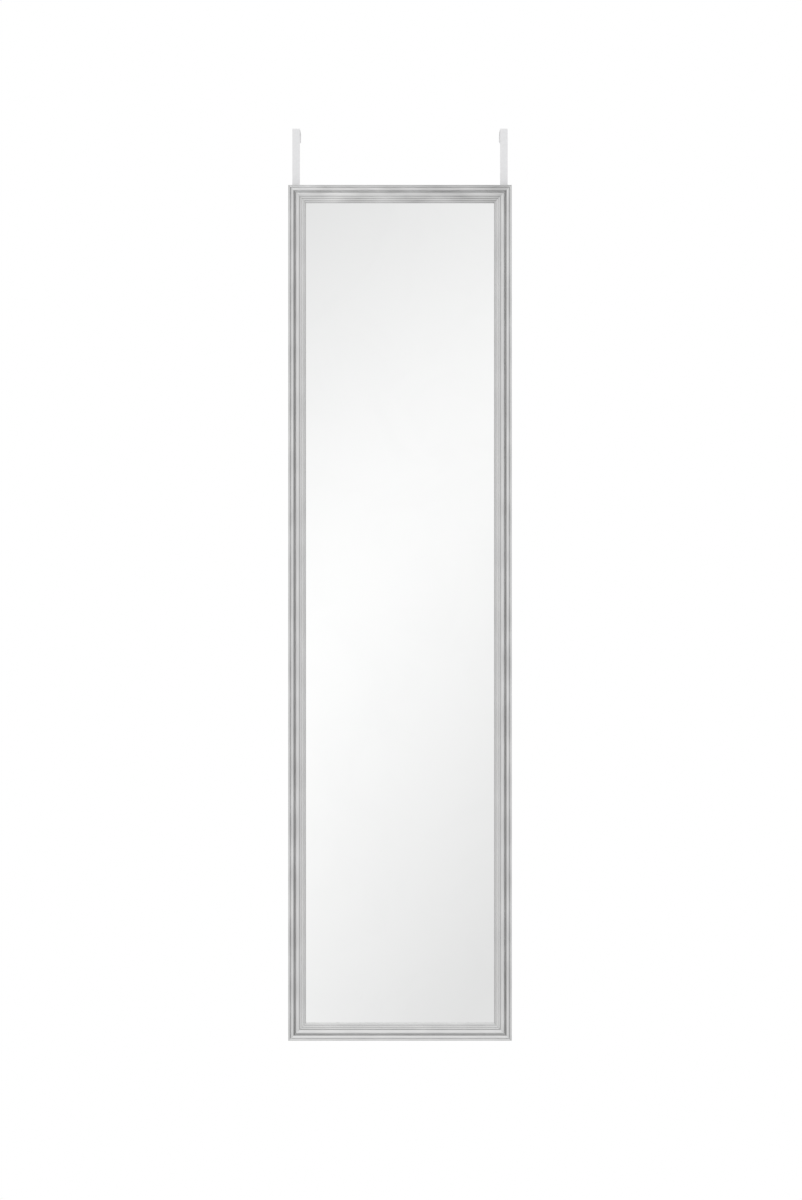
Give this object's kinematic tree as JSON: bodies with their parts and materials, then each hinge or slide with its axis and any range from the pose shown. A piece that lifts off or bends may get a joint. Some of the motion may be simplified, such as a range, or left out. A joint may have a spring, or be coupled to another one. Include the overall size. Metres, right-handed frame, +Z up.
{
  "type": "over the door mirror",
  "caption": "Tall mirror in a ribbed silver frame that hangs over the top of a door on flat steel hooks.",
  "frame": {"origin": "middle of the door's top edge, on the door's front face, level with the undersides of the hooks' bridges", "axes": "+X to the viewer's right, +Y into the door, +Z up; the mirror faces -Y"},
  "size_m": [0.356, 0.0595, 1.4557],
  "materials": {
    "frame": "foamed polystyrene moulding wrapped in brushed silver foil",
    "mirror": "3 mm float glass silvered on the back",
    "board": "brown hardboard",
    "points": "plain spring steel",
    "hook": "flat steel strap with white powder coat",
    "foam": "white closed-cell foam",
    "screw": "zinc plated",
    "bumper": "frosted soft plastic"
  },
  "bodies": {
    "frame": {"frame_left_stile": "frame", "frame_right_stile": "frame", "frame_top_rail": "frame", "frame_bottom_rail": "frame", "corner_nails": "points", "mirror_glass": "mirror", "backing_board": "board", "retaining_points": "points", "hook_left_screws": "screw", "hook_right_screws": "screw", "hook_left_washers": "screw", "hook_right_washers": "screw", "bumper_left": "bumper", "bumper_right": "bumper"},
    "left_hook": {"hook_left": "hook", "hook_left_pad": "foam"},
    "right_hook": {"hook_right": "hook", "hook_right_pad": "foam"}
  },
  "joints": [
    {"name": "hook_left_slide", "type": "slide", "parent": "frame", "child": "left_hook", "axis": [0, 0, 1], "range_m": [-0.013, 0.013]},
    {"name": "hook_right_slide", "type": "slide", "parent": "frame", "child": "right_hook", "axis": [0, 0, 1], "range_m": [-0.013, 0.013]}
  ]
}
